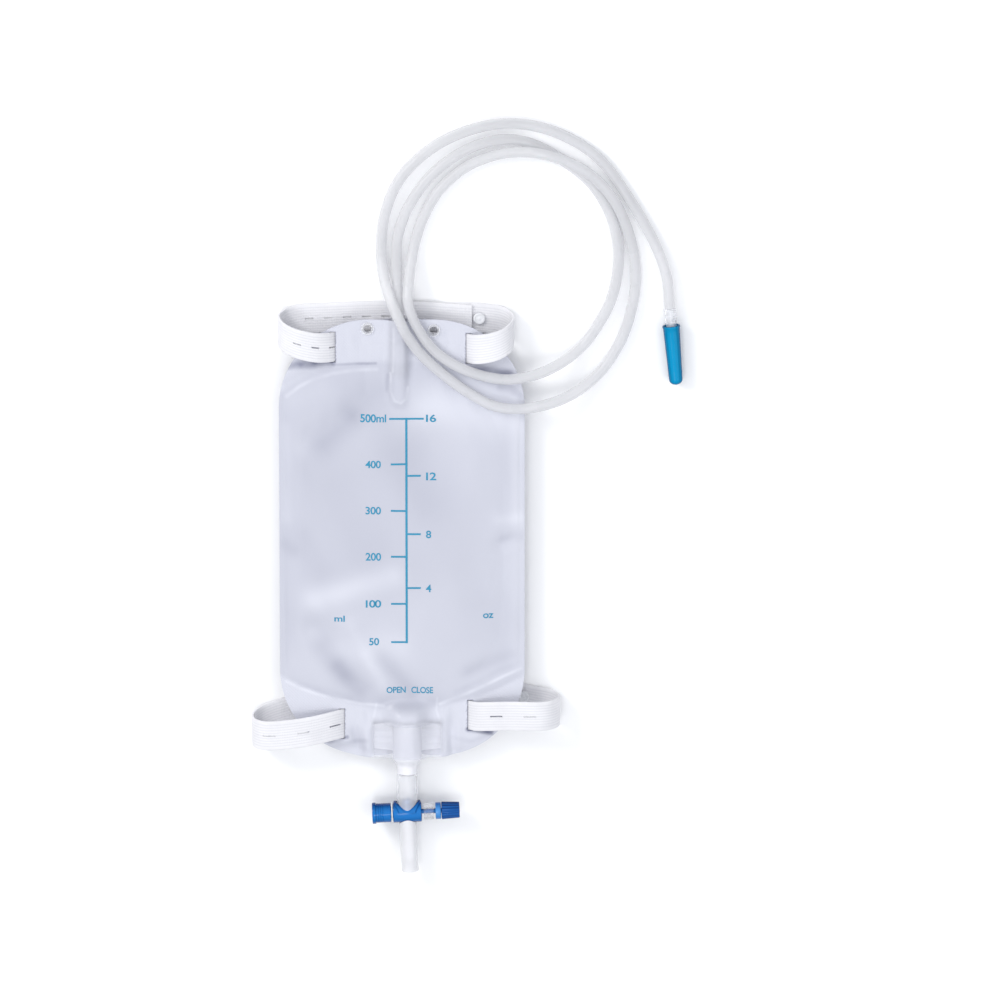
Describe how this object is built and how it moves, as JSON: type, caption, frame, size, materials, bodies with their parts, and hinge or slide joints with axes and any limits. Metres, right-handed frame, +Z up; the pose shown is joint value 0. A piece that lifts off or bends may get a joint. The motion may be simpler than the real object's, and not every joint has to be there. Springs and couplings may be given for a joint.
{
  "type": "urine drainage leg bag",
  "caption": "Flat welded film pouch with a long inlet tube and cap, two elastic leg straps and a push tap with a drain spout.",
  "frame": {"origin": "bottom centre of the bag as it lies on its back, without the free tubing and its cap", "axes": "+X to the right of the print, +Y toward the inlet at the bag's top, +Z up out of the printed face"},
  "size_m": [0.2373, 0.4249, 0.0217],
  "materials": {
    "film": "frosted translucent soft film",
    "print_ink": "flat blue print",
    "clear_moulding": "clear gloss",
    "frosted_moulding": "frosted translucent",
    "soft_clear": "soft translucent",
    "milky_tubing": "milky soft gloss",
    "elastic": "white knitted elastic with ribs",
    "button_plastic": "white gloss",
    "royal_blue": "moulded gloss",
    "pale_blue": "translucent gloss",
    "dark_blue": "ribbed gloss",
    "cap_blue": "moulded gloss",
    "white_silicone": "white seal rubber"
  },
  "bodies": {
    "bag": {"front_film": "film", "back_film": "film", "volume_scale": "print_ink", "hanging_eyelet_left": "clear_moulding", "hanging_eyelet_right": "clear_moulding", "inlet_port": "clear_moulding", "anti_reflux_valve": "soft_clear", "outlet_port": "frosted_moulding", "outlet_tube": "clear_moulding", "upper_strap": "elastic", "lower_strap": "elastic", "upper_strap_button": "button_plastic", "lower_strap_button": "button_plastic", "tap_body": "royal_blue", "drain_nozzle": "soft_clear", "inlet_tubing": "milky_tubing", "tubing_connector": "clear_moulding"},
    "plunger": {"tap_plunger": "royal_blue", "stop_washer": "white_silicone", "seal_ring_1": "white_silicone", "seal_ring_2": "white_silicone", "plunger_sleeve": "soft_clear", "plunger_collar": "pale_blue", "plunger_knob": "dark_blue"},
    "cap": {"protective_cap": "cap_blue"}
  },
  "joints": [
    {"name": "tap_slide", "type": "slide", "parent": "bag", "child": "plunger", "axis": [0.999, 0.0436, 0], "range_m": [-0.0073, 0]},
    {"name": "cap_pull", "type": "slide", "parent": "bag", "child": "cap", "axis": [0.0872, -0.9962, 0], "range_m": [0, 0.03]}
  ]
}
